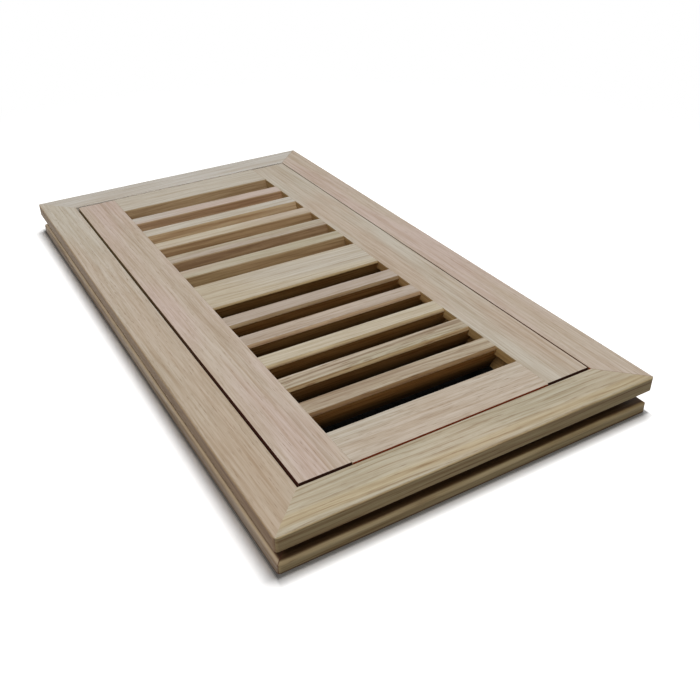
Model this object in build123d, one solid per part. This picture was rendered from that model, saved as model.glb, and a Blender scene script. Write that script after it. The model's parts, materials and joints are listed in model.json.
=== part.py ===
# Flush-mount wooden floor register: a mitred, grooved frame, a drop-in louvred vent and a steel damper.
# Millimetres and degrees. The origin is the centre of the frame's underside, +Z is up,
# X runs across the register and Y along it, from the front rail to the back rail.
import os
from math import cos, radians, sin, tan

from build123d import *

# Frame
FRAME_WIDTH = 184.0
FRAME_LENGTH = 337.0
FRAME_THICKNESS = 19.0
RAIL_FACE = 18.9
LEDGE_WIDTH = 7.0
LEDGE_HEIGHT = 10.0
TOP_LIP = 7.1
GROOVE_HEIGHT = 6.4
GROOVE_DEPTH = 7.5
LOWER_LIP_SETBACK = 0.6
LOWER_LIP_ROUND = 2.0
ARRIS_ROUND = 0.8
CORNER_ROUND = 1.6

# Drop-in vent, which lies a little to the right in its frame
VENT_GAP = 1.0
VENT_SHIFT = 0.35
VENT_THICKNESS = 17.0
CORE_CLEARANCE = 1.0
STILE_WIDTH = 23.1
STILE_SETBACK = 0.5
STILE_LIP = 5.0
HOUSING_DEPTH = 4.0
END_RAIL_WIDTH = 20.9
CENTER_RAIL_WIDTH = 24.8
SLATS_PER_HALF = 5
SLAT_WIDTH = 8.4
SLAT_LEAN = 28.0
SLAT_CHAMFER = 1.5
CENTER_CHAMFER = 1.0
END_SLOT_EXTRA = 3.1
EDGE_EASE = 0.3

# Damper tray
SHEET = 0.8
BEND_RADIUS = 1.0
TRAY_SIDE_INSET = 0.5
TRAY_END_INSET = 3.7
END_FLANGE = 8.0

# Damper blades and rods
BLADE_COUNT = 4
BLADE_LAP = 1.6
BLADE_SIDE_GAP = 0.5
BLADE_END_GAP = 1.5
BLADE_HEADROOM = 3.6
BLADE_FOOTROOM = 1.6
BLADE_TILT = 3.0
ROD_RADIUS = 2.0
ROD_HEAD_RADIUS = 2.8
ROD_HEAD = 0.8
ROD_END_PLAY = 0.3
RUNNING_CLEARANCE = 0.08

# Link between the blades
CRANK_RADIUS = 8.0
EAR_SHEET = 1.0
EAR_HALF_WIDTH = 7.0
EAR_ROUND = 3.6
LINK_SHEET = 1.0
LINK_WIDTH = 6.0
LINK_GAP = 0.3
LINK_WALL_GAP = 1.3
TAB_WIDTH = 6.0
TAB_REACH = 3.0
TAB_CLIP = 1.2
TAB_EAR_GAP = 0.6
PIN_RADIUS = 1.5
PIN_HEAD_RADIUS = 2.5
PIN_HEAD = 0.8

# Tray screws
SCREW_INSET = 4.0
SCREW_EDGE = 4.5
SCREW_END_INSET = 24.0
SCREW_RADIUS = 1.6
SCREW_LENGTH = 10.0
SCREW_HEAD_RADIUS = 3.2
SCREW_HEAD = 1.1
RECESS_WIDTH = 0.9
RECESS_LENGTH = 3.6
RECESS_DEPTH = 0.7
PILOT_CLEARANCE = 0.02

# Frame heights and vent sizes worked out from the ones above
GROOVE_TOP = FRAME_THICKNESS - TOP_LIP
GROOVE_BOTTOM = GROOVE_TOP - GROOVE_HEIGHT
RAIL_WIDTH = RAIL_FACE + LEDGE_WIDTH
VENT_TOP = FRAME_THICKNESS
VENT_BOTTOM = VENT_TOP - VENT_THICKNESS
VENT_WIDTH = FRAME_WIDTH - 2 * (RAIL_FACE + VENT_GAP)
VENT_LENGTH = FRAME_LENGTH - 2 * (RAIL_FACE + VENT_GAP)
CORE_INSET = LEDGE_WIDTH - VENT_GAP + CORE_CLEARANCE
LIP_BOTTOM = VENT_TOP - STILE_LIP
SLOT_HALF_LENGTH = VENT_WIDTH / 2 - STILE_WIDTH
HOUSING_X = SLOT_HALF_LENGTH + HOUSING_DEPTH
LEAN = tan(radians(SLAT_LEAN))
SLOT_END = VENT_LENGTH / 2 - END_RAIL_WIDTH
SLOT_RUN = SLOT_END - CENTER_RAIL_WIDTH / 2 - SLATS_PER_HALF * SLAT_WIDTH
SLOT_WIDTH = (SLOT_RUN - END_SLOT_EXTRA) / (SLATS_PER_HALF + 1)

# Damper sizes worked out from the vent's
TRAY_WIDTH = 2 * (SLOT_HALF_LENGTH - TRAY_SIDE_INSET)
TRAY_LENGTH = 2 * (SLOT_END - TRAY_END_INSET)
INNER_WIDTH = TRAY_WIDTH - 2 * SHEET
INNER_LENGTH = TRAY_LENGTH - 2 * SHEET
BLADE_PITCH = (INNER_WIDTH - 2 * BLADE_SIDE_GAP - BLADE_LAP) / BLADE_COUNT
BLADE_WIDTH = BLADE_PITCH + BLADE_LAP
BLADE_X = [(i - (BLADE_COUNT - 1) / 2) * BLADE_PITCH for i in range(BLADE_COUNT)]
PIVOT_Z = VENT_BOTTOM - BLADE_HEADROOM - BLADE_WIDTH / 2
TRAY_BOTTOM = PIVOT_Z - BLADE_WIDTH / 2 - BLADE_FOOTROOM
LINK_Y = -INNER_LENGTH / 2 + LINK_WALL_GAP
EAR_Y = LINK_Y + LINK_SHEET + LINK_GAP
BLADE_BACK_Y = INNER_LENGTH / 2 - BLADE_END_GAP
BLADE_TRAVEL = 90.0 - BLADE_TILT
CRANK_ANGLE = radians(90.0 + BLADE_TRAVEL / 2)
PIN_SHIFT = CRANK_RADIUS * cos(CRANK_ANGLE)
PIN_Z = PIVOT_Z + CRANK_RADIUS * sin(CRANK_ANGLE)
TAB_TOP = VENT_BOTTOM + TAB_REACH
FRONT_SLOT = SLOT_WIDTH + END_SLOT_EXTRA - SLAT_CHAMFER * (1 + LEAN)
TAB_Y = -SLOT_END + FRONT_SLOT / 2 + LEAN * (VENT_THICKNESS - TAB_REACH / 2)
SCREW_X = HOUSING_X + SCREW_INSET
SCREW_PLACES = GridLocations(2 * SCREW_X, TRAY_LENGTH - 2 * SCREW_END_INSET, 2, 2)

STANDING = (Align.CENTER, Align.CENTER, Align.MIN)


def along_x(points, half_length, radii=0):
    """Extrudes a section given as (y, z) points both ways along X."""
    outline = FilletPolyline(*points, radius=radii, close=True)
    return extrude(make_face(Plane.YZ * outline), half_length, both=True)


def along_y(points, half_length, radii=0):
    """Extrudes a section given as (x, z) points both ways along Y."""
    outline = FilletPolyline(*points, radius=radii, close=True)
    return extrude(make_face(Plane.XZ * outline), half_length, both=True)


def slab(width, length, bottom, top):
    """A block centred on the Z axis, between two heights."""
    return Pos(0, 0, bottom) * Box(width, length, top - bottom, align=STANDING)


def bar_along_y(radius, start, end):
    """A round bar on the Y axis between two places."""
    return Pos(0, start, 0) * Rot(X=-90) * Cylinder(radius, end - start, align=STANDING)


def frame_rail(length):
    """One mitred frame member along X, its outer edge on the X axis and its ledge towards +Y."""
    section = [
        (LOWER_LIP_SETBACK, 0),
        (LOWER_LIP_SETBACK, GROOVE_BOTTOM),
        (GROOVE_DEPTH, GROOVE_BOTTOM),
        (GROOVE_DEPTH, GROOVE_TOP),
        (0, GROOVE_TOP),
        (0, FRAME_THICKNESS),
        (RAIL_FACE, FRAME_THICKNESS),
        (RAIL_FACE, LEDGE_HEIGHT),
        (RAIL_WIDTH, LEDGE_HEIGHT),
        (RAIL_WIDTH, 0),
    ]
    radii = [0, LOWER_LIP_ROUND, 0, 0, 0, ARRIS_ROUND, 0, 0, 0, 0]
    mitred_plan = Polyline(
        (-length / 2, 0),
        (length / 2, 0),
        (length / 2 - RAIL_WIDTH, RAIL_WIDTH),
        (-length / 2 + RAIL_WIDTH, RAIL_WIDTH),
        close=True,
    )
    return along_x(section, length / 2, radii) & extrude(make_face(mitred_plan), FRAME_THICKNESS)


def eased_plan(setback, bottom, top):
    """The frame's outline with its corners eased, set back from the outer edge."""
    plan = RectangleRounded(FRAME_WIDTH - 2 * setback, FRAME_LENGTH - 2 * setback, CORNER_ROUND)
    return Pos(0, 0, bottom) * extrude(plan, top - bottom)


def frame_pieces():
    """The four mitred rails, eased at the frame's outer corners."""
    outline = eased_plan(LOWER_LIP_SETBACK, 0, GROOVE_BOTTOM) + eased_plan(0, GROOVE_BOTTOM, FRAME_THICKNESS)
    end_rail = Pos(0, -FRAME_LENGTH / 2, 0) * frame_rail(FRAME_WIDTH) & outline
    side_rail = Rot(Z=90) * Pos(0, -FRAME_WIDTH / 2, 0) * frame_rail(FRAME_LENGTH) & outline
    return {
        "frame_front_rail": end_rail,
        "frame_back_rail": Rot(Z=180) * end_rail,
        "frame_right_rail": side_rail,
        "frame_left_rail": Rot(Z=180) * side_rail,
    }


def vent_envelope():
    """The vent as one block: a lip that rests on the frame's ledge, and a core that hangs inside it."""
    lip = slab(VENT_WIDTH, VENT_LENGTH, LEDGE_HEIGHT, VENT_TOP)
    core = slab(VENT_WIDTH - 2 * CORE_INSET, VENT_LENGTH - 2 * CORE_INSET, VENT_BOTTOM, LEDGE_HEIGHT)
    return lip + core


def vent_stile():
    """The right-hand stile, rabbeted on the inside to house the ends of the rails and slats."""
    section = [
        (SLOT_HALF_LENGTH, LIP_BOTTOM),
        (SLOT_HALF_LENGTH, VENT_TOP),
        (VENT_WIDTH / 2, VENT_TOP),
        (VENT_WIDTH / 2, VENT_BOTTOM),
        (HOUSING_X, VENT_BOTTOM),
        (HOUSING_X, LIP_BOTTOM),
    ]
    stile = along_y(section, VENT_LENGTH / 2 - STILE_SETBACK) & vent_envelope()
    pilot = Cylinder(SCREW_RADIUS + PILOT_CLEARANCE, SCREW_LENGTH, align=STANDING)
    for place in SCREW_PLACES:
        stile -= place * Pos(0, 0, VENT_BOTTOM) * pilot
    return stile


def cross_member(section):
    """A rail or slat along X, notched at its ends to pass under the stiles' lips."""
    between_lips = slab(2 * SLOT_HALF_LENGTH, VENT_LENGTH, LIP_BOTTOM, VENT_TOP)
    under_lips = slab(2 * HOUSING_X, VENT_LENGTH, VENT_BOTTOM, LIP_BOTTOM)
    return along_x(section, HOUSING_X) & vent_envelope() & (between_lips + under_lips)


def slat_section(front):
    """A slat of the front half, chamfered along its upper front edge and leaning back as it goes down."""
    nose = front - SLAT_CHAMFER
    return [
        (nose, VENT_TOP - SLAT_CHAMFER),
        (front, VENT_TOP),
        (front + SLAT_WIDTH - EDGE_EASE, VENT_TOP),
        (front + SLAT_WIDTH, VENT_TOP - EDGE_EASE),
        (front + SLAT_WIDTH + LEAN * VENT_THICKNESS, VENT_BOTTOM),
        (nose + LEAN * (VENT_THICKNESS - SLAT_CHAMFER), VENT_BOTTOM),
    ]


def center_rail_section():
    """The center rail, chamfered and undercut on both sides to follow the slats."""
    half = CENTER_RAIL_WIDTH / 2
    nose = half + CENTER_CHAMFER
    foot = nose - LEAN * (VENT_THICKNESS - CENTER_CHAMFER)
    return [
        (-nose, VENT_TOP - CENTER_CHAMFER),
        (-half, VENT_TOP),
        (half, VENT_TOP),
        (nose, VENT_TOP - CENTER_CHAMFER),
        (foot, VENT_BOTTOM),
        (-foot, VENT_BOTTOM),
    ]


def front_rail_section():
    """The vent's front rail, its inner edge leaning with the slats."""
    return [
        (-VENT_LENGTH / 2, VENT_BOTTOM),
        (-VENT_LENGTH / 2, VENT_TOP),
        (-SLOT_END - EDGE_EASE, VENT_TOP),
        (-SLOT_END, VENT_TOP - EDGE_EASE),
        (-SLOT_END + LEAN * VENT_THICKNESS, VENT_BOTTOM),
    ]


def vent_pieces():
    """Stiles, rails and slats. The back half is the front half turned round."""
    turned = Rot(Z=180)
    stile = vent_stile()
    front_rail = cross_member(front_rail_section())
    pieces = {
        "vent_right_stile": stile,
        "vent_left_stile": turned * stile,
        "vent_front_rail": front_rail,
        "vent_back_rail": turned * front_rail,
        "vent_center_rail": cross_member(center_rail_section()),
    }
    for i in range(SLATS_PER_HALF):
        steps_from_center = SLATS_PER_HALF - i
        front = -CENTER_RAIL_WIDTH / 2 - steps_from_center * (SLOT_WIDTH + SLAT_WIDTH)
        slat = cross_member(slat_section(front))
        pieces[f"front_slat_{i + 1}"] = slat
        pieces[f"back_slat_{steps_from_center}"] = turned * slat
    return pieces


def tray_wall_section(half_width, flange_edge):
    """A tray wall and its out-turned flange, bent from one sheet."""
    section = [
        (half_width, TRAY_BOTTOM),
        (half_width, VENT_BOTTOM - SHEET),
        (flange_edge, VENT_BOTTOM - SHEET),
        (flange_edge, VENT_BOTTOM),
        (half_width - SHEET, VENT_BOTTOM),
        (half_width - SHEET, TRAY_BOTTOM),
    ]
    radii = [0, BEND_RADIUS, 0, 0, BEND_RADIUS + SHEET, 0]
    return section, radii


def damper_tray():
    """A folded sleeve, open above and below, with flanges on its sides and ends."""
    section, radii = tray_wall_section(TRAY_WIDTH / 2, SCREW_X + SCREW_EDGE)
    side = along_y(section, TRAY_LENGTH / 2, radii)
    section, radii = tray_wall_section(TRAY_LENGTH / 2, TRAY_LENGTH / 2 + END_FLANGE)
    end = along_x(section, TRAY_WIDTH / 2, radii)
    tray = side + Rot(Z=180) * side + end + Rot(Z=180) * end
    screw_hole = Cylinder(SCREW_RADIUS + RUNNING_CLEARANCE, 4 * SHEET)
    for place in SCREW_PLACES:
        tray -= place * Pos(0, 0, VENT_BOTTOM) * screw_hole
    rod_hole = bar_along_y(ROD_RADIUS + RUNNING_CLEARANCE, -TRAY_LENGTH, TRAY_LENGTH)
    for x in BLADE_X:
        tray -= Pos(x, 0, PIVOT_Z) * rod_hole
    return tray


def tray_screws():
    """Low-headed wood screws with a cross recess, up through the flange into the stiles."""
    head_bottom = VENT_BOTTOM - SHEET - SCREW_HEAD
    head = Cylinder(SCREW_HEAD_RADIUS, SCREW_HEAD, align=STANDING)
    slot = Box(RECESS_LENGTH, RECESS_WIDTH, 2 * RECESS_DEPTH)
    shank = Cylinder(SCREW_RADIUS, SCREW_HEAD + SHEET + SCREW_LENGTH, align=STANDING)
    screw = Pos(0, 0, head_bottom) * (head + shank - slot - Rot(Z=90) * slot)
    return Compound([place * screw for place in SCREW_PLACES])


def blade_sheet():
    """A blade about its pivot axis: a flat sheet with a half-round bead over the rod."""
    length = BLADE_BACK_Y - EAR_Y
    middle = Pos(0, (BLADE_BACK_Y + EAR_Y) / 2, 0)
    flat = middle * Box(BLADE_WIDTH, length, SHEET)
    bead = bar_along_y(ROD_RADIUS + SHEET, EAR_Y, BLADE_BACK_Y)
    upper_half = middle * Box(BLADE_WIDTH, length, BLADE_WIDTH, align=STANDING)
    return flat + (bead & upper_half)


def blade_ear(crank):
    """The ear folded up at the blade's front end, from the sheet to the link's pin."""
    pin = Pos(CRANK_RADIUS * cos(crank), CRANK_RADIUS * sin(crank))
    foot = Rectangle(2 * EAR_HALF_WIDTH, SHEET)
    outline = make_hull((pin * Circle(EAR_ROUND) + foot).edges())
    outline -= pin * Circle(PIN_RADIUS + RUNNING_CLEARANCE)
    return Pos(0, EAR_Y + EAR_SHEET, 0) * extrude(Plane.XZ * outline, EAR_SHEET)


def damper_blade():
    """One blade with its ear, bored for the rod, tilted as it lies when shut."""
    blade = blade_sheet() + blade_ear(CRANK_ANGLE + radians(BLADE_TILT))
    blade -= bar_along_y(ROD_RADIUS, -TRAY_LENGTH, TRAY_LENGTH)
    return Rot(Y=BLADE_TILT) * blade


def damper_rod():
    """A blade's rod, its ends peened over outside the tray's end walls."""
    head_start = TRAY_LENGTH / 2 + ROD_END_PLAY
    head = bar_along_y(ROD_HEAD_RADIUS, head_start, head_start + ROD_HEAD)
    return bar_along_y(ROD_RADIUS, -head_start, head_start) + head + Rot(Z=180) * head


def link_tab():
    """The bar's tab, bent back over the ears and then up into the front slot, where it is pushed across."""
    leg_bottom = PIN_Z + EAR_ROUND + TAB_EAR_GAP
    leg_top = leg_bottom + LINK_SHEET
    section = [
        (LINK_Y, PIN_Z),
        (LINK_Y, leg_top),
        (TAB_Y - LINK_SHEET / 2, leg_top),
        (TAB_Y - LINK_SHEET / 2, TAB_TOP),
        (TAB_Y + LINK_SHEET / 2, TAB_TOP),
        (TAB_Y + LINK_SHEET / 2, leg_bottom),
        (LINK_Y + LINK_SHEET, leg_bottom),
        (LINK_Y + LINK_SHEET, PIN_Z),
    ]
    outer_bend = BEND_RADIUS + LINK_SHEET
    radii = [0, outer_bend, BEND_RADIUS, 0, 0, outer_bend, BEND_RADIUS, 0]
    tab = along_x(section, TAB_WIDTH / 2, radii)
    return chamfer(tab.edges().filter_by(Axis.Y).group_by(Axis.Z)[-1], TAB_CLIP)


def link_bar():
    """The flat bar that joins the blades' ears, with the tab that works them."""
    outline = Rectangle(BLADE_PITCH * (BLADE_COUNT - 1) + LINK_WIDTH, LINK_WIDTH)
    bar = Pos(0, LINK_Y + LINK_SHEET, PIN_Z) * extrude(Plane.XZ * outline, LINK_SHEET)
    bar += link_tab()
    for x in BLADE_X:
        bar -= Pos(x, 0, PIN_Z) * bar_along_y(PIN_RADIUS, -TRAY_LENGTH, TRAY_LENGTH)
    return Pos(PIN_SHIFT, 0, 0) * bar


def link_pins():
    """Pins pressed into the bar, each with a head behind its ear."""
    head_start = EAR_Y + EAR_SHEET + LINK_GAP
    pin = bar_along_y(PIN_RADIUS, LINK_Y, head_start)
    pin += bar_along_y(PIN_HEAD_RADIUS, head_start, head_start + PIN_HEAD)
    return Compound([Pos(x + PIN_SHIFT, 0, PIN_Z) * pin for x in BLADE_X])


def damper_pieces():
    """Tray and its screws, blades on their rods, and the link."""
    pieces = {
        "damper_tray": damper_tray(),
        "tray_screws": tray_screws(),
        "link_bar": link_bar(),
        "link_pins": link_pins(),
    }
    blade = damper_blade()
    rod = damper_rod()
    for i, x in enumerate(BLADE_X, start=1):
        pieces[f"damper_blade_{i}"] = Pos(x, 0, PIVOT_Z) * blade
        pieces[f"damper_rod_{i}"] = Pos(x, 0, PIVOT_Z) * rod
    return pieces


def main():
    os.makedirs("parts", exist_ok=True)
    shapes = frame_pieces()
    for node, shape in (vent_pieces() | damper_pieces()).items():
        shapes[node] = Pos(VENT_SHIFT, 0, 0) * shape
    for node, shape in shapes.items():
        export_step(shape, f"parts/{node}.step")


main()
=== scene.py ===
import json
import math

import bmesh
import bpy
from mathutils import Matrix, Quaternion, Vector


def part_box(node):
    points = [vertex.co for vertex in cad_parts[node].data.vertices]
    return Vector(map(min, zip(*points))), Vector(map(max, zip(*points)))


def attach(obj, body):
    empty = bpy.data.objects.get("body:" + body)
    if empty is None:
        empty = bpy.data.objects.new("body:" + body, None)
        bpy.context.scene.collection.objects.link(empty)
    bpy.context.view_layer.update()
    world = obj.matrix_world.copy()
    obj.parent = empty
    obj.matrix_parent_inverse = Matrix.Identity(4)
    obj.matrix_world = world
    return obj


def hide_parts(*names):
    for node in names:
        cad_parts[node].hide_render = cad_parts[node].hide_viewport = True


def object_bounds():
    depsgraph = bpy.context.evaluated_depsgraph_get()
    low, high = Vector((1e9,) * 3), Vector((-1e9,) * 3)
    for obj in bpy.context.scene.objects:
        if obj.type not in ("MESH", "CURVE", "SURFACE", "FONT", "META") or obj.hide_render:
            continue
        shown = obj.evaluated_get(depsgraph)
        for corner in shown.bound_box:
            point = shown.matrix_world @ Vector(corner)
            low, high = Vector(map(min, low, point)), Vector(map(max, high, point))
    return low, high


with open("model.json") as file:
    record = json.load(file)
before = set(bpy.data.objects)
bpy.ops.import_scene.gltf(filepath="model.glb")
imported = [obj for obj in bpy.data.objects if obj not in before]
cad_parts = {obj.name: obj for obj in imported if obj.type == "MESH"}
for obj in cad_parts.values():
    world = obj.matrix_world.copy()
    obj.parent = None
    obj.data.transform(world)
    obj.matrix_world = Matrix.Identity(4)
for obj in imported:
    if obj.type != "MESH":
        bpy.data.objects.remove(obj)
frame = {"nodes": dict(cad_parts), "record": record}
cad_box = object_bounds()

# Sizes in metres, unless a comment says otherwise
MM = 0.001
PER_METRE = 1000.0
RAIL_FACE = 18.9 * MM
RIM = 3.0 * MM
HALF_WIDTH = cad_box[1].x
HALF_LENGTH = cad_box[1].y
INNER_HALF_WIDTH = HALF_WIDTH - RAIL_FACE
INNER_HALF_LENGTH = HALF_LENGTH - RAIL_FACE
RIM_HALF_WIDTH = INNER_HALF_WIDTH - RIM
RIM_HALF_LENGTH = INNER_HALF_LENGTH - RIM
VENT_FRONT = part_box("vent_front_rail")[0].y
VENT_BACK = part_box("vent_back_rail")[1].y
MIDDLE = Vector((0.0, 0.0, 0.0))

# The photograph's point of view: angles in degrees, lens and sensor in millimetres
EYE = (-0.170405, -0.352771, 0.227035)
AZIMUTH = -29.3187
ELEVATION = 33.3780
ROLL = -1.2588
LENS = 42.321
SENSOR = 36.0
SHIFT = 0.02286
NEAREST = 0.01

# Soft square lamps: place, width and watts
LAMPS = {
    "overhead_lamp": ((0.22, 0.04, 1.28), 0.5, 8.3),
    "left_lamp": ((-0.75, -0.54, 1.19), 0.6, 11.6),
    "lamp_below": ((0.0, 0.0, -1.4), 0.17, 14.0),
    "damper_lamp": ((0.7, -0.8, -0.9), 0.8, 30.0),
}
ROOM_LIGHT = 0.12

# Floor, and the duct boot under the register
DUCT_WIDTH = 0.1016
DUCT_LENGTH = 0.254
DUCT_DEPTH = 0.16
FLOOR_REACH = 6.0
FLOOR_DROP = 0.02 * MM
FLOOR_WHITE = 2.4
FLOOR_BOUNCE = 0.15
SHADOW_FADE = (0.2, 0.45)
# A painted contact shadow round the register's foot: its dark line, its wider fade, and how much narrower it
# is at the sides
FOOT_SHADOW_LINE = (0.4 * MM, 1.6 * MM, 0.45, 1.0)
FOOT_SHADE = (1.0 * MM, 6.5 * MM, 0.68, 1.0)
SIDE_SHADE = 6.0

# How the wooden edges are eased, and how faces are told apart by their normals
MERGE = 1e-6
FLAT_ANGLE = math.radians(0.5)
SHARP_ANGLE = math.radians(20)
ARRIS = 0.25 * MM
JOINT_ARRIS = 0.14 * MM
CLOSE = 0.05 * MM
UPRIGHT = 0.5
END_FACE = 0.9
LEANING = (-0.8, -0.2)
# A wooden piece's materials: sanded oak, the joint's oak in painted shade and light, end grain, and the
# undersides' painted shade
SANDED, SAWN_JOINT, STILE_END, SLAT_UNDERSIDE = range(4)


def linear(red, green, blue):
    """A colour given as screen values from 0 to 255, in the linear values that a shader takes."""
    screen = [v / 255 for v in (red, green, blue)]
    return tuple(v / 12.92 if v <= 0.04045 else ((v + 0.055) / 1.055) ** 2.4 for v in screen) + (1.0,)


class Value:
    """A socket among a material's nodes. Arithmetic on it adds Math nodes."""

    def __init__(self, nodes, socket):
        self.nodes = nodes
        self.socket = socket

    def math(self, operation, *values):
        return self.nodes.node("ShaderNodeMath", {"operation": operation}, dict(enumerate(values)))

    def __add__(self, other):
        return self.math("ADD", self, other)

    def __radd__(self, other):
        return self.math("ADD", other, self)

    def __sub__(self, other):
        return self.math("SUBTRACT", self, other)

    def __rsub__(self, other):
        return self.math("SUBTRACT", other, self)

    def __mul__(self, other):
        return self.math("MULTIPLY", self, other)

    def __rmul__(self, other):
        return self.math("MULTIPLY", other, self)

    def __truediv__(self, other):
        return self.math("DIVIDE", self, other)

    def __rtruediv__(self, other):
        return self.math("DIVIDE", other, self)

    def __pow__(self, other):
        return self.math("POWER", self, other)

    def __rpow__(self, other):
        return self.math("POWER", other, self)

    def fraction(self):
        return self.math("FRACT", self)

    def size(self):
        return self.math("ABSOLUTE", self)

    def at_most(self, limit):
        return self.math("MINIMUM", self, limit)

    def at_least(self, limit):
        return self.math("MAXIMUM", self, limit)


class Nodes:
    """The nodes of one material, or of the world."""

    def __init__(self, owner):
        owner.use_nodes = True
        self.tree = owner.node_tree
        self.tree.nodes.clear()

    def node(self, kind, settings=None, sockets=None, output=0):
        """Adds a node: its settings first, then the values or links of its sockets."""
        made = self.tree.nodes.new(kind)
        for name, value in (settings or {}).items():
            if name == "stops":
                for _ in value[2:]:
                    made.color_ramp.elements.new(0.5)
                for element, (place, shade) in zip(made.color_ramp.elements, value):
                    element.position = place
                    element.color = (shade, shade, shade, 1.0)
            else:
                setattr(made, name, value)
        for name, value in (sockets or {}).items():
            if isinstance(value, Value):
                self.tree.links.new(value.socket, made.inputs[name])
            else:
                made.inputs[name].default_value = value
        return Value(self, made.outputs[output])

    def place(self):
        """The point on the object, in metres."""
        return self.node("ShaderNodeTexCoord", output="Object")

    def axes(self, point):
        """A point's three coordinates."""
        split = self.node("ShaderNodeSeparateXYZ", sockets={0: point})
        return [Value(self, out) for out in split.socket.node.outputs]

    def stretched(self, point, scale):
        """A point scaled differently along each axis."""
        return self.node("ShaderNodeVectorMath", {"operation": "MULTIPLY"}, {0: point, 1: scale})

    def noise(self, point, scale=1.0, detail=2.0, roughness=0.5):
        return self.node("ShaderNodeTexNoise", sockets={
            "Vector": point, "Scale": scale, "Detail": detail, "Roughness": roughness})

    def cells(self, point):
        """The distance to the nearest of many scattered points."""
        return self.node("ShaderNodeTexVoronoi", sockets={"Vector": point, "Scale": 1.0, "Randomness": 1.0})

    def ramp(self, value, stops):
        """A value remade by a ramp of (place, shade) stops."""
        return self.node("ShaderNodeValToRGB", {"stops": stops}, {0: value})

    def step(self, value, low, high, to_low=0.0, to_high=1.0):
        """A smooth step from one value to another between two levels."""
        return self.node("ShaderNodeMapRange", {"interpolation_type": "SMOOTHSTEP"}, {
            "Value": value, "From Min": low, "From Max": high, "To Min": to_low, "To Max": to_high})

    def fall(self, value, low, high, start=1.0):
        """A smooth step down to nothing between two levels."""
        return self.step(value, low, high, start, 0.0)

    def blend(self, share, first, second):
        """A colour between two colours."""
        return self.node("ShaderNodeMix", {"data_type": "RGBA"}, {0: share, 6: first, 7: second}, 2)

    def tinted(self, share, color, tint):
        """A colour multiplied by a tint, as far as the share goes."""
        return self.node("ShaderNodeMix", {"data_type": "RGBA", "blend_type": "MULTIPLY"},
                         {0: share, 6: color, 7: tint}, 2)

    def bump(self, height, strength, distance):
        return self.node("ShaderNodeBump", sockets={
            "Height": height, "Strength": strength, "Distance": distance})

    def principled(self, sockets):
        return self.node("ShaderNodeBsdfPrincipled", sockets=sockets)

    def show(self, shader, kind="ShaderNodeOutputMaterial"):
        """Makes a shader the material's surface, or the world's."""
        made = self.tree.nodes.new(kind)
        self.tree.links.new(shader.socket, made.inputs["Surface"])


# Tones of bare oak, as they look under full light; some also serve as painted light and shade, as noted
CREAM = linear(197, 193, 186)
PALE = linear(192, 185, 172)
STRAW = linear(191, 181, 161)
OLIVE = linear(178, 170, 149)
SAND = linear(191, 178, 163)
TAN = linear(187, 172, 156)
ROSE = linear(194, 177, 167)
MUSHROOM = linear(178, 165, 153)
BROWN = linear(163, 147, 127)
HAZEL = linear(168, 144, 116)
# Honey is also the painted highlight along the top edge of sanded tops
HONEY = linear(196, 176, 138)
AMBER = linear(184, 162, 118)
PORE = linear(126, 104, 80)
# The next four are used as painted shade in the joint round the vent; umber is also the mitre line and end
# grain
RUST = linear(176, 88, 48)
UMBER = linear(88, 48, 33)
MOSS = linear(140, 122, 84)
SADDLE = linear(112, 80, 56)
# Painted light on the joint's face at the back of the vent
BACK_GAP_LIGHT = linear(238, 233, 224)
# Painted highlight on the lower lip's crest
CREST_HIGHLIGHT = linear(228, 207, 172)
SOOT = linear(40, 28, 21)
# Painted shade: the warm, darker oak of the leaning slats' undersides
SHADED_UNDERSIDE = linear(202, 163, 106)

# What the grain does to the tone of a board
FLECK_TINT = linear(241, 236, 229)
LINE_TINT = linear(212, 199, 183)
FIBRE_TINT = linear(229, 222, 213)
STREAK_TINT = linear(206, 192, 176)
BAND_TINT = linear(190, 172, 146)
SAW_TINT = linear(220, 206, 190)
SHADY_FIBRE_TINT = linear(206, 184, 158)

# Side tints: the milled sides' own tone with painted shade; the last three are painted shade alone
SIDE_YELLOW = linear(243, 229, 198)
SIDE_GREY = linear(212, 194, 173)
SIDE_DEEP = linear(232, 206, 170)
SIDE_DARK = linear(200, 175, 140)
SIDE_OLIVE = linear(214, 198, 162)
SIDE_LIGHT = linear(244, 225, 194)
SIDE_BRIGHT = linear(250, 238, 212)
SIDE_WARM = linear(255, 226, 170)
UNDERCUT_SHADE = linear(140, 118, 96)
GROOVE_AND_FOOT_SHADE = linear(140, 122, 108)
DEEP_SHADE = linear(104, 106, 108)

# Steel, paint and duct
BLACK = linear(18, 18, 18)
DUST = linear(50, 48, 44)
DULL_ZINC = linear(168, 168, 164)
BRIGHT_ZINC = linear(204, 203, 196)
DUCT_DARK = linear(30, 29, 28)

# How often the oak's features come, in each millimetre along, across and into the grain
SWAYS = (0.008, 0.03, 0.03)
RIPPLES = (0.03, 0.3, 0.3)
BREAKS = (0.05, 0.9, 0.9)
PORES = (0.14, 2.0, 2.0)
DASHES = (0.08, 0.8, 0.2)
FIBRES = (0.045, 1.5, 1.5)
FLECKS = (0.014, 0.4, 0.4)
PATCHES = (0.011, 0.045, 0.045)
STREAKS = (0.012, 0.7, 0.7)
BANDS = (0.016, 0.5, 0.5)

# Growth rings: sizes in millimetres, and how strong the early wood is from one ring to the next
RING_WIDTH = 1.9
RING_SWAY = 12.0
RING_RIPPLE = 1.2
MARK_RIPPLE = 3.0
EARLY_WOOD = ((0.0, 1.0), (0.16, 0.45), (0.42, 0.0), (0.86, 0.0), (1.0, 1.0))
ENDS_ALONG = {"x": 0.0, "y": -90.0}

# Heights on the register, in millimetres above its underside
FOOT_SHADE_TOP = (0.2, 1.3)
GROOVE_BOTTOM = 5.5
GROOVE_TOP = 11.9
SHADED_SIDE = (12.0, 18.6)
CHAMFER = (17.5, 18.5)
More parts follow.
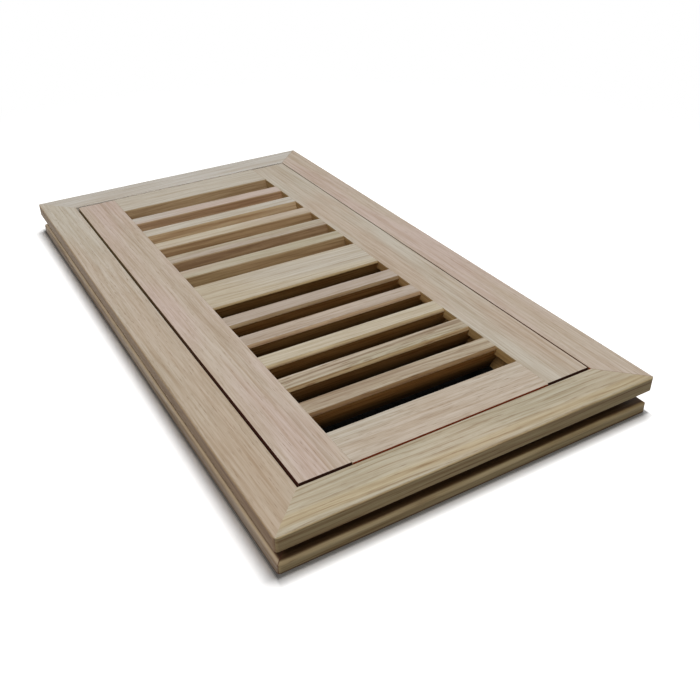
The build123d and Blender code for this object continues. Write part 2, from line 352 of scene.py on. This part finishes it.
# The next two heights bound the painted highlight along a sanded top's edge
ARRIS_HIGHLIGHT_FOOT = (18.2, 18.6)
ARRIS_HIGHLIGHT_TOP = (18.7, 18.97)
MILLED_TOP = (18.72, 18.97)

# Ways in from the frame's outside, in millimetres
FOOT_SHADE_REACH = (0.8, 1.4)
LIP_REACH = (2.6, 3.4)

# Strength and height of a surface's relief
WOOD_RELIEF = (0.3, 0.0001)
PAINT_RELIEF = (0.1, 0.00005)
ZINC_RELIEF = (0.12, 0.00005)
SANDED_GLOSS = 0.28
DULL_GLOSS = 0.2


def finish(name):
    """A new material, and its nodes to fill."""
    material = bpy.data.materials.new(name)
    return material, Nodes(material)


def wood_surface(nodes, color, roughness, relief, gloss=DULL_GLOSS):
    """Bare wood of a given colour, roughness and relief."""
    nodes.show(nodes.principled({
        "Base Color": color,
        "Roughness": roughness,
        "Specular IOR Level": gloss,
        "Normal": nodes.bump(relief, *WOOD_RELIEF),
    }))


def frame_edge(nodes, color, wood, mitre, groove, lip, crest):
    """A frame rail's colour: painted shade in its groove and foot, banded lower lip, painted highlight on its
    crest, mitre lines.
    """
    x, y, z = nodes.axes(nodes.place())
    height = z * PER_METRE
    from_side = HALF_WIDTH - x.size()
    from_end = HALF_LENGTH - y.size()
    inset = from_side.at_most(from_end) * PER_METRE

    # Painted shade in the groove, starting some way in
    hollow = nodes.step(height, GROOVE_BOTTOM - 0.4, GROOVE_BOTTOM)
    hollow = hollow * nodes.fall(height, GROOVE_TOP - 0.2, GROOVE_TOP)
    color = nodes.tinted(hollow * nodes.step(inset, groove - 0.1, 1.9 * groove), color, GROOVE_AND_FOOT_SHADE)

    lower_lip = nodes.fall(height, GROOVE_BOTTOM - 0.6, GROOVE_BOTTOM - 0.15) * nodes.fall(inset, *LIP_REACH)
    bands = nodes.noise(nodes.stretched(wood, BANDS))
    color = nodes.blend(lower_lip * nodes.step(bands, 0.4, 0.6, 0.25, 0.65), color, lip)
    color = nodes.tinted(lower_lip * nodes.fall(bands, 0.33, 0.45, 0.5), color, BAND_TINT)
    # Crest: a painted highlight along the lower lip's rounded top
    if crest:
        top = nodes.step(height, GROOVE_BOTTOM - 1.0, GROOVE_BOTTOM - 0.2, 0.0, crest)
        top = top * nodes.fall(height, GROOVE_BOTTOM + 0.1, GROOVE_BOTTOM + 0.4)
        color = nodes.blend(top * nodes.fall(inset, groove, groove + 0.8), color, CREST_HIGHLIGHT)

    # Painted shade along the foot, where the rail meets the floor
    foot = nodes.fall(height, *FOOT_SHADE_TOP) * nodes.fall(inset, *FOOT_SHADE_REACH)
    color = nodes.tinted(foot, color, GROOVE_AND_FOOT_SHADE)
    off_mitre = (y.size() - x.size() - (HALF_LENGTH - HALF_WIDTH)).size()
    joint = nodes.fall(off_mitre, 0.08 * MM, 0.3 * MM) * nodes.fall(height, mitre, mitre + 2.0, 0.9)
    return nodes.blend(joint, color, UMBER)


def oak(name, tones, along, pith, drift, slip, lines=0.3, pores=0.4, side=SIDE_YELLOW, under=0.0,
        mitre=0.0, groove=0.0, lip=HONEY, crest=0.0, front=None, dashes=0.0, rim=0.0, marks=()):
    """Bare sanded oak: thin growth lines round a pith, pores, fibres and slow changes of tone.

    The grain runs along the named axis, adrift by some degrees. The pith is given across and below, in
    millimetres from the middle of the register, and slip moves the piece along the tree. Lines and pores
    are how strongly those show. Side is the tint of the milled sides, their own tone together with painted
    shade, and under is painted shade that darkens the back part of a side on its way down. Mitre is the
    height to which the joint's line shows, and with it come how far in the groove's painted shade starts,
    the tone of the bands on the lower lip and how strong the painted highlight on its crest is. Front is a
    tone that a piece takes on towards the front. Dashes are short dark streaks where pores lie together.
    Rim is how strong the painted shade at the foot of a slat's chamfer is; without rim, a painted highlight
    runs along the top edge. A mark is a streak along the grain: its place across, its width, its strength
    and its tone.
    """
    material, nodes = finish(name)
    place = nodes.place()
    turn = math.radians(ENDS_ALONG[along] + drift)
    wood = nodes.node("ShaderNodeMapping", sockets={
        "Vector": place,
        "Location": (slip, 0.0, 0.0),
        "Rotation": (0.0, 0.0, turn),
        "Scale": (PER_METRE,) * 3,
    })
    across, depth = nodes.axes(wood)[1:]
    y, z = nodes.axes(place)[1:]
    height = z * PER_METRE

    # Growth lines, which come and go along the grain
    sway = nodes.noise(nodes.stretched(wood, SWAYS))
    ripple = nodes.noise(nodes.stretched(wood, RIPPLES))
    radius = ((across - pith[0]) ** 2.0 + (depth - pith[1]) ** 2.0) ** 0.5
    rings = (radius + sway * RING_SWAY + ripple * RING_RIPPLE) / RING_WIDTH
    early = nodes.ramp(rings.fraction(), EARLY_WOOD)
    broken = nodes.step(nodes.noise(nodes.stretched(wood, BREAKS)), 0.35, 0.62)
    line = early * (0.25 + 0.75 * broken)

    # Pores in the early wood, fibres and flecks
    open_pores = nodes.fall(nodes.cells(nodes.stretched(wood, PORES)), 0.1, 0.3) * (0.35 + 0.65 * early)
    fibres = nodes.noise(nodes.stretched(wood, FIBRES), 1.0, 3.0, 0.6)
    flecks = nodes.noise(nodes.stretched(wood, FLECKS))
    patches = nodes.noise(nodes.stretched(wood, PATCHES))

    # The sanded top
    color = nodes.blend(nodes.step(patches, 0.34, 0.66), *tones)
    if front:
        color = nodes.blend(nodes.fall(y, -0.11, 0.06, 0.45), color, front)
    for spot, width, strength, tone in marks:
        off = (across + ripple * MARK_RIPPLE - (0.5 * MARK_RIPPLE + spot)).size()
        color = nodes.blend(nodes.fall(off, 0.2 * width, width, strength), color, tone)
    color = nodes.tinted(nodes.step(flecks, 0.42, 0.74), color, FLECK_TINT)
    color = nodes.tinted(line * lines, color, LINE_TINT)
    color = nodes.tinted(nodes.step(fibres, 0.32, 0.72), color, FIBRE_TINT)
    color = nodes.blend(open_pores * pores, color, PORE)
    if dashes:
        clusters = nodes.cells(nodes.stretched(wood, DASHES))
        color = nodes.blend(nodes.fall(clusters, 0.12, 0.32, dashes), color, PORE)

    # The milled sides: their own tone together with painted shade, and streaks along the grain
    milled = nodes.fall(height, *MILLED_TOP)
    streaks = nodes.noise(nodes.stretched(wood, STREAKS))
    color = nodes.tinted(milled, color, side)
    color = nodes.tinted(milled * nodes.step(streaks, 0.4, 0.7, 0.0, 0.8), color, STREAK_TINT)
    # Rim: painted shade, darker towards the foot of a slat's chamfer
    if rim:
        color = nodes.tinted(nodes.fall(height, *CHAMFER, rim), color, UNDERCUT_SHADE)
    else:
        # Painted highlight in honey along the top edge
        arris_highlight = nodes.step(height, *ARRIS_HIGHLIGHT_FOOT) * nodes.fall(height, *ARRIS_HIGHLIGHT_TOP, 0.28)
        color = nodes.blend(arris_highlight, color, HONEY)
    # Under: painted shade, darker down the sides and towards the back
    if under:
        shaded = nodes.fall(height, *SHADED_SIDE, under) * nodes.step(y, -0.03, 0.01, 0.2, 1.0)
        color = nodes.tinted(shaded, color, UNDERCUT_SHADE)
    if mitre:
        color = frame_edge(nodes, color, wood, mitre, groove, lip, crest)

    relief = fibres * 0.35 - line * 0.25 - open_pores
    wood_surface(nodes, color, 0.62 + 0.14 * open_pores, relief, SANDED_GLOSS)
    return material


def rabbet_oak():
    """Sawn oak in the joint round the vent, coloured as painted shade: rust-brown in front, dark at the left,
    lighter elsewhere, with a pale painted light at the back.
    """
    material, nodes = finish("rabbet_oak")
    place = nodes.place()
    x, y = nodes.axes(place)[:2]
    saw_marks = nodes.noise(nodes.stretched(place, (300.0, 300.0, 1500.0)), 1.0, 3.0, 0.6)
    backwards = nodes.step(y, -0.1, 0.1)
    left = nodes.blend(backwards, UMBER, MOSS)
    right = nodes.blend(backwards, SADDLE, SAND)
    color = nodes.blend(nodes.step(x, -0.01, 0.01), left, right)
    color = nodes.blend(nodes.fall(y, VENT_FRONT + 0.1 * MM, VENT_FRONT + 0.4 * MM), color, RUST)
    color = nodes.blend(nodes.step(y, VENT_BACK - 0.4 * MM, VENT_BACK - 0.1 * MM), color, BACK_GAP_LIGHT)
    wood_surface(nodes, nodes.tinted(saw_marks, color, SAW_TINT), 0.8, saw_marks)
    return material


def shaded_underside_oak():
    """Painted shade on the undersides of the leaning slats: a warm, darker oak, darker just below the chamfer
    and darker still further down.
    """
    material, nodes = finish("shaded_underside_oak")
    place = nodes.place()
    height = nodes.axes(place)[2]
    fibres = nodes.noise(nodes.stretched(place, (40.0, 900.0, 900.0)), 1.0, 3.0, 0.6)
    color = nodes.tinted(nodes.step(fibres, 0.35, 0.7), SHADED_UNDERSIDE, SHADY_FIBRE_TINT)
    color = nodes.tinted(nodes.step(height, 16.4 * MM, 17.2 * MM, 0.0, 0.45), color, UNDERCUT_SHADE)
    color = nodes.tinted(nodes.fall(height, 4.0 * MM, 15.0 * MM), color, DEEP_SHADE)
    wood_surface(nodes, color, 0.75, fibres)
    return material


def end_grain():
    """The stiles' dark end grain."""
    material, nodes = finish("end_grain")
    vessels = nodes.noise(nodes.place(), 2400.0, 3.0, 0.6)
    wood_surface(nodes, nodes.blend(vessels, SOOT, UMBER), 0.85, vessels)
    return material


def black_paint():
    """Matt black paint on sheet steel, with a fine grain and a little dust."""
    material, nodes = finish("black_paint")
    place = nodes.place()
    grain = nodes.noise(place, 2600.0, 2.0)
    dust = nodes.step(nodes.noise(place, 38.0, 4.0, 0.6), 0.48, 0.78)
    nodes.show(nodes.principled({
        "Base Color": nodes.blend(dust * 0.12, BLACK, DUST),
        "Roughness": 0.6 + 0.1 * grain + 0.16 * dust,
        "Specular IOR Level": DULL_GLOSS,
        "Normal": nodes.bump(grain, *PAINT_RELIEF),
    }))
    return material


def zinc_plate():
    """Bright zinc plate on steel, mottled and faintly brushed."""
    material, nodes = finish("zinc_plate")
    place = nodes.place()
    mottle = nodes.noise(place, 420.0, 3.0, 0.6)
    brushed = nodes.noise(nodes.stretched(place, (2600.0, 120.0, 2600.0)), 1.0, 2.0)
    nodes.show(nodes.principled({
        "Base Color": nodes.blend(mottle, DULL_ZINC, BRIGHT_ZINC),
        "Metallic": 1.0,
        "Roughness": 0.26 + 0.22 * mottle,
        "Normal": nodes.bump(brushed, *ZINC_RELIEF),
    }))
    return material


# Wooden pieces, each with its own oak
BOARDS = {
    "frame_front_rail": dict(
        tones=(STRAW, OLIVE), along="x", pith=(40.0, -230.0), drift=0.8, slip=40.0, lines=1.0, pores=0.8,
        mitre=7.0, marks=[(-164.0, 4.0, 0.4, AMBER)]),
    "frame_back_rail": dict(
        tones=(CREAM, CREAM), along="x", pith=(-60.0, -150.0), drift=-2.0, slip=610.0, mitre=7.0),
    "frame_left_rail": dict(
        tones=(SAND, PALE), along="y", pith=(160.0, -40.0), drift=-0.5, slip=1100.0, lines=0.2, pores=0.9,
        side=SIDE_GREY, mitre=7.0, groove=1.7, lip=TAN, crest=0.5, front=HAZEL),
    "frame_right_rail": dict(
        tones=(ROSE, SAND), along="y", pith=(-190.0, -60.0), drift=-0.3, slip=1710.0, lines=0.2, pores=0.6,
        mitre=30.0),
    "vent_left_stile": dict(
        tones=(ROSE, SAND), along="y", pith=(120.0, -20.0), drift=-0.5, slip=2300.0, lines=0.25, pores=0.7,
        side=SIDE_DEEP, under=1.0, marks=[(56.0, 2.5, 0.28, BROWN)]),
    "vent_right_stile": dict(
        tones=(PALE, TAN), along="y", pith=(-140.0, -10.0), drift=-0.2, slip=2900.0, lines=0.25,
        side=SIDE_WARM, under=1.0, marks=[(-63.0, 2.0, 0.3, BROWN)]),
    "vent_front_rail": dict(
        tones=(PALE, SAND), along="x", pith=(-220.0, -80.0), drift=1.0, slip=3300.0, lines=0.35, pores=0.9,
        side=SIDE_DEEP, dashes=0.35),
    "vent_back_rail": dict(
        tones=(PALE, PALE), along="x", pith=(60.0, -60.0), drift=-1.5, slip=3700.0, side=SIDE_DARK),
    "vent_center_rail": dict(
        tones=(STRAW, PALE), along="x", pith=(-70.0, -40.0), drift=0.5, slip=4100.0, lines=0.45,
        side=SIDE_OLIVE, marks=[(2.0, 0.7, 0.5, BROWN), (-4.0, 0.6, 0.4, BROWN)]),
    "front_slat_1": dict(
        tones=(STRAW, BROWN), along="x", pith=(-190.0, -40.0), drift=2.0, slip=4500.0, lines=0.8, pores=0.9,
        side=SIDE_DARK, dashes=0.6, rim=0.4, marks=[(-107.0, 0.8, 0.5, PORE)]),
    "front_slat_2": dict(
        tones=(OLIVE, TAN), along="x", pith=(-150.0, -30.0), drift=-1.0, slip=4900.0, lines=1.0, pores=1.0,
        side=SIDE_LIGHT, dashes=0.9, rim=0.4, marks=[(-87.5, 1.4, 0.6, PORE), (-90.5, 0.8, 0.4, PORE)]),
    "front_slat_3": dict(
        tones=(STRAW, STRAW), along="x", pith=(-100.0, -50.0), drift=1.0, slip=5300.0, side=SIDE_BRIGHT,
        rim=0.8),
    "front_slat_4": dict(
        tones=(TAN, MUSHROOM), along="x", pith=(-90.0, -30.0), drift=0.6, slip=5700.0, pores=0.8,
        side=SIDE_LIGHT, dashes=0.3, rim=0.4),
    "front_slat_5": dict(
        tones=(MUSHROOM, MUSHROOM), along="x", pith=(-40.0, -60.0), drift=-1.2, slip=6100.0,
        side=SIDE_OLIVE, rim=0.4),
    "back_slat_1": dict(
        tones=(OLIVE, TAN), along="x", pith=(70.0, -50.0), drift=1.4, slip=6500.0, side=SIDE_DARK),
    "back_slat_2": dict(
        tones=(OLIVE, MUSHROOM), along="x", pith=(80.0, -40.0), drift=-0.8, slip=6900.0, lines=0.5, pores=0.9,
        side=SIDE_DARK, dashes=0.3),
    "back_slat_3": dict(
        tones=(STRAW, SAND), along="x", pith=(90.0, -70.0), drift=0.9, slip=7300.0, side=SIDE_DARK),
    "back_slat_4": dict(
        tones=(PALE, CREAM), along="x", pith=(120.0, -30.0), drift=-1.0, slip=7700.0, side=SIDE_DEEP),
    "back_slat_5": dict(
        tones=(ROSE, CREAM), along="x", pith=(150.0, -60.0), drift=0.7, slip=8100.0, side=SIDE_DARK),
}


def slot_of(node):
    """The record's finish for a node."""
    return next(row["material_slot"] for row in frame["record"]["subparts"] if row["node"] == node)


def on_mitre(vert):
    """Whether a point lies on the frame's diagonal joint."""
    return abs((HALF_LENGTH - abs(vert.co.y)) - (HALF_WIDTH - abs(vert.co.x))) < CLOSE


def in_rabbet(place):
    """Whether a point lies within the frame's inner edges."""
    return abs(place.x) < INNER_HALF_WIDTH + CLOSE and abs(place.y) < INNER_HALF_LENGTH + CLOSE


def easing(node, edge):
    """How far a sharp edge is eased: open ones most, those at joints barely, closed mitres not at all."""
    if not node.startswith("frame") or all(in_rabbet(v.co) for v in edge.verts):
        return JOINT_ARRIS
    return 0.0 if all(on_mitre(v) for v in edge.verts) else ARRIS


def material_of(node, face):
    """Which of a wooden piece's materials a face takes; the joint's oak and the slat undersides carry painted
    shade.
    """
    middle = face.calc_center_median()
    upright = abs(face.normal.z) < UPRIGHT
    if node.startswith("frame"):
        return SAWN_JOINT if upright and in_rabbet(middle) else SANDED
    if node.endswith("stile") and abs(face.normal.y) > END_FACE:
        return STILE_END
    if LEANING[0] < face.normal.z < LEANING[1] and not node.endswith("stile"):
        return SLAT_UNDERSIDE
    at_rim = abs(middle.x) > RIM_HALF_WIDTH or abs(middle.y) > RIM_HALF_LENGTH
    outwards = face.normal.dot(Vector((middle.x, middle.y, 0.0))) > 0.0
    return SAWN_JOINT if upright and at_rim and outwards else SANDED


def piece_from(body, name):
    """An object made from a bmesh, which is freed."""
    mesh = bpy.data.meshes.new(name)
    body.to_mesh(mesh)
    body.free()
    piece = bpy.data.objects.new(name, mesh)
    bpy.context.scene.collection.objects.link(piece)
    return piece


def eased_copy(node):
    """A copy of a wooden node with its sharp edges eased, its faces sorted by material."""
    body = bmesh.new()
    body.from_mesh(frame["nodes"][node].data)
    bmesh.ops.remove_doubles(body, verts=body.verts, dist=MERGE)
    bmesh.ops.dissolve_limit(body, angle_limit=FLAT_ANGLE, verts=body.verts, edges=body.edges)
    ease = body.edges.layers.float.new("bevel_weight_edge")
    for face in body.faces:
        face.smooth = True
        face.material_index = material_of(node, face)
    for edge in body.edges:
        sharp = edge.is_manifold and edge.calc_face_angle() > SHARP_ANGLE
        edge.smooth = not sharp
        if sharp and edge.is_convex:
            edge[ease] = easing(node, edge) / ARRIS
    piece = piece_from(body, node + "_oak")
    bevel = piece.modifiers.new("eased edges", "BEVEL")
    bevel.affect = "EDGES"
    bevel.limit_method = "WEIGHT"
    bevel.width = ARRIS
    bevel.segments = 2
    bevel.profile = 0.5
    bevel.material = -1
    bevel.harden_normals = True
    return piece


def wooden_pieces():
    """Each wooden node, eased and in its own oak. Gives back the pieces that hang over the duct."""
    shared = (rabbet_oak(), end_grain(), shaded_underside_oak())
    over_duct = []
    for node, grain in BOARDS.items():
        piece = eased_copy(node)
        for material in (oak(node + "_oak", **grain), *shared):
            piece.data.materials.append(material)
        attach(piece, "register")
        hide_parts(node)
        slot_of(node)
        if "slat" in node or node == "vent_center_rail":
            over_duct.append(piece)
    return over_duct


def steel_pieces():
    """Paint and plate on the damper's own nodes, which it gives back."""
    damper = []
    finishes = {"black_steel": black_paint(), "zinc_steel": zinc_plate()}
    for node, piece in frame["nodes"].items():
        material = finishes.get(slot_of(node))
        if material:
            piece.data.materials.clear()
            piece.data.materials.append(material)
            slot_of(node)
            damper.append(piece)
    return damper


def rays(nodes):
    """The kinds of ray, and those that show the pale background."""
    path = nodes.node("ShaderNodeLightPath").socket.node
    light = {out.name: Value(nodes, out) for out in path.outputs}
    shown = light["Is Camera Ray"] + light["Is Glossy Ray"] + light["Is Transmission Ray"]
    light["Shown"] = shown.at_most(1.0)
    return light


def one_sided(nodes, shader, light):
    """Lets the camera look through a face from behind, and on through the next, so the damper shows."""
    behind = nodes.node("ShaderNodeNewGeometry", output="Backfacing")
    unseen = behind.at_least(light["Transparent Depth"]).at_most(1.0) * light["Is Camera Ray"]
    clear = nodes.node("ShaderNodeBsdfTransparent")
    return nodes.node("ShaderNodeMixShader", sockets={0: unseen, 1: shader, 2: clear})


def floor_paint():
    """White floor that keeps the register's shadow, with a painted shadow darkest at its foot, and lends the
    wood little light.
    """
    material, nodes = finish("floor_paint")
    light = rays(nodes)
    shown = light["Shown"]
    x, y = nodes.axes(nodes.place())[:2]
    away = nodes.step((x ** 2.0 + y ** 2.0) ** 0.5, *SHADOW_FADE)
    # Painted contact shadow, by the distance from the register's footprint
    foot = ((x.size() - HALF_WIDTH) * SIDE_SHADE).at_least(y.size() - HALF_LENGTH)
    shade = nodes.step(foot, *FOOT_SHADOW_LINE) * nodes.step(foot, *FOOT_SHADE)
    white = shown * (1.0 - away) * shade * FLOOR_WHITE + (1.0 - shown) * FLOOR_BOUNCE
    surface = nodes.principled({
        "Base Color": nodes.node("ShaderNodeCombineColor", sockets={0: white, 1: white, 2: white}),
        "Roughness": 0.9,
        "Specular IOR Level": 0.0,
        "Emission Color": nodes.blend(shown * away, (0.0, 0.0, 0.0, 1.0), (1.0,) * 4),
        "Emission Strength": 1.0,
    })
    nodes.show(one_sided(nodes, surface, light))
    return material


def duct_paint():
    """The dark inside of the duct."""
    material, nodes = finish("duct_paint")
    surface = nodes.principled({"Base Color": DUCT_DARK, "Roughness": 0.8})
    nodes.show(one_sided(nodes, surface, rays(nodes)))
    return material


def floor():
    """A floor with the duct let into it."""
    ground = bmesh.new()
    bmesh.ops.create_grid(ground, x_segments=1, y_segments=1, size=1.0)
    hole = ground.faces[:]
    rim = bmesh.ops.inset_region(
        ground, faces=hole, thickness=0.1, use_even_offset=True, use_boundary=True)["faces"]
    reach = Vector((FLOOR_REACH, FLOOR_REACH, 0.0))
    duct = Vector((DUCT_WIDTH / 2, DUCT_LENGTH / 2, 0.0))
    inner = {v for f in hole for v in f.verts}
    for vert in ground.verts:
        corner = duct if vert in inner else reach
        vert.co.x = math.copysign(corner.x, vert.co.x)
        vert.co.y = math.copysign(corner.y, vert.co.y)
        vert.co.z = -FLOOR_DROP
    bottom = bmesh.ops.extrude_face_region(ground, geom=hole)["geom"]
    bmesh.ops.delete(ground, geom=hole, context="FACES_ONLY")
    for vert in (g for g in bottom if isinstance(g, bmesh.types.BMVert)):
        vert.co.z -= DUCT_DEPTH
    for face in ground.faces:
        face.material_index = 0 if face in rim else 1
        face.normal_update()
        middle = face.calc_center_median()
        level = abs(face.normal.z) > UPRIGHT
        inwards = Vector((0.0, 0.0, 1.0)) if level else -Vector((middle.x, middle.y, 0.0))
        if face.normal.dot(inwards) < 0.0:
            face.normal_flip()
    piece = piece_from(ground, "floor")
    piece.data.materials.append(floor_paint())
    piece.data.materials.append(duct_paint())
    return piece


def softbox(name, place, width, watts):
    """A square soft lamp that faces the register."""
    lamp = bpy.data.lights.new(name, "AREA")
    lamp.shape = "SQUARE"
    lamp.size = width
    lamp.energy = watts
    holder = bpy.data.objects.new(name, lamp)
    bpy.context.scene.collection.objects.link(holder)
    holder.location = place
    holder.rotation_mode = "QUATERNION"
    holder.rotation_quaternion = (MIDDLE - Vector(place)).to_track_quat("-Z", "Y")
    return holder


def lamp_group(name, state, pieces):
    """A collection by which a lamp keeps to some pieces or passes over them."""
    group = bpy.data.collections.new(name)
    for piece in pieces:
        group.objects.link(piece)
    for member in group.collection_objects:
        member.light_linking.link_state = state
    return group


def studio(ground, over_duct, damper):
    """Soft light from above and from the left, lamps for the underside, and a dim room that looks white.

    The left lamp spares the floor. Those below shine through it: one on the frames, one on the damper alone.
    """
    linking = {name: softbox(name, *settings).light_linking for name, settings in LAMPS.items()}
    linking["left_lamp"].receiver_collection = lamp_group("spared_by_left_lamp", "EXCLUDE", [ground])
    through_floor = lamp_group("clear_from_below", "EXCLUDE", [ground])
    spared = lamp_group("spared_from_below", "EXCLUDE", [ground, *over_duct])
    linking["lamp_below"].receiver_collection = spared
    linking["lamp_below"].blocker_collection = through_floor
    linking["damper_lamp"].receiver_collection = lamp_group("lit_by_damper_lamp", "INCLUDE", damper)
    linking["damper_lamp"].blocker_collection = through_floor

    world = bpy.data.worlds.new("room")
    bpy.context.scene.world = world
    nodes = Nodes(world)
    strength = ROOM_LIGHT + (1.0 - ROOM_LIGHT) * rays(nodes)["Shown"]
    room = nodes.node("ShaderNodeBackground", sockets={"Color": (1.0,) * 4, "Strength": strength})
    nodes.show(room, "ShaderNodeOutputWorld")
    bpy.context.scene.view_settings.view_transform = "Standard"


def camera():
    """The photograph's point of view."""
    lens = bpy.data.cameras.new("camera")
    lens.sensor_width = SENSOR
    lens.lens = LENS
    lens.shift_x = SHIFT
    lens.clip_start = NEAREST
    viewer = bpy.data.objects.new("camera", lens)
    bpy.context.scene.collection.objects.link(viewer)
    side, rise = math.radians(AZIMUTH), math.radians(ELEVATION)
    back = Vector((math.sin(side) * math.cos(rise), -math.cos(side) * math.cos(rise), math.sin(rise)))
    level_view = (-back).to_track_quat("-Z", "Y")
    viewer.location = EYE
    viewer.rotation_mode = "QUATERNION"
    viewer.rotation_quaternion = level_view @ Quaternion((0, 0, 1), math.radians(ROLL))
    bpy.context.scene.camera = viewer


camera()
over_duct = wooden_pieces()
damper = steel_pieces()
studio(floor(), over_duct, damper)
